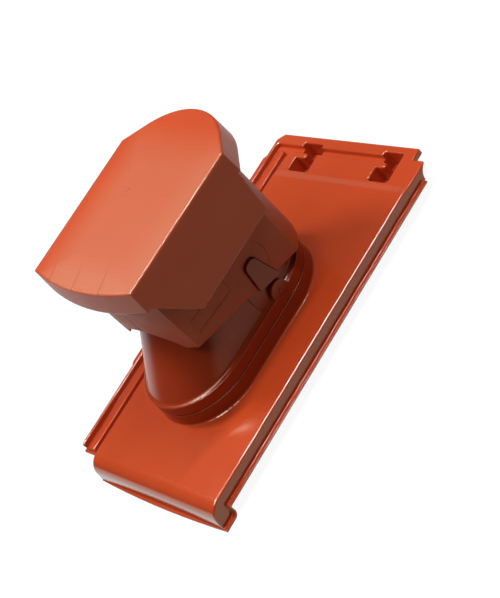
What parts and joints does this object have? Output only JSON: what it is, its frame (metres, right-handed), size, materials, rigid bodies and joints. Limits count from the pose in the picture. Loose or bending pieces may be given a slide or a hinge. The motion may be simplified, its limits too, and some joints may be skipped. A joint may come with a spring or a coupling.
{
  "type": "flat roof vent tile",
  "caption": "Flat interlocking plastic roof tile with an oval vent stack, a round air pipe inside it and a clip-on rain hood with an angular lid.",
  "frame": {"origin": "centre of the air pipe's lower end, in the plane that the nose and the pipe stand on", "axes": "+Z square to the flat of the tile, upwards; +Y towards the head of the tile, up the roof; +X to the right, towards the side skirt"},
  "size_m": [0.281, 0.5062, 0.2512],
  "materials": {
    "tile_plastic": "smooth terracotta-coloured plastic with a low gloss",
    "stack_plastic": "smooth terracotta-coloured plastic with a low gloss",
    "hood_plastic": "terracotta-coloured plastic with a fine matt grain",
    "screw_plastic": "moulded plastic",
    "pipe_plastic": "dark grey plastic pipe",
    "seal_rubber": "black rubber"
  },
  "bodies": {
    "root": {"base_plate": "tile_plastic", "stack_gasket": "seal_rubber", "vent_stack": "stack_plastic", "lug_screw_right": "screw_plastic", "lug_screw_left": "screw_plastic", "inner_pipe": "pipe_plastic", "pipe_seal": "seal_rubber", "hood_baffle": "hood_plastic", "hood_lid": "hood_plastic"}
  },
  "joints": []
}
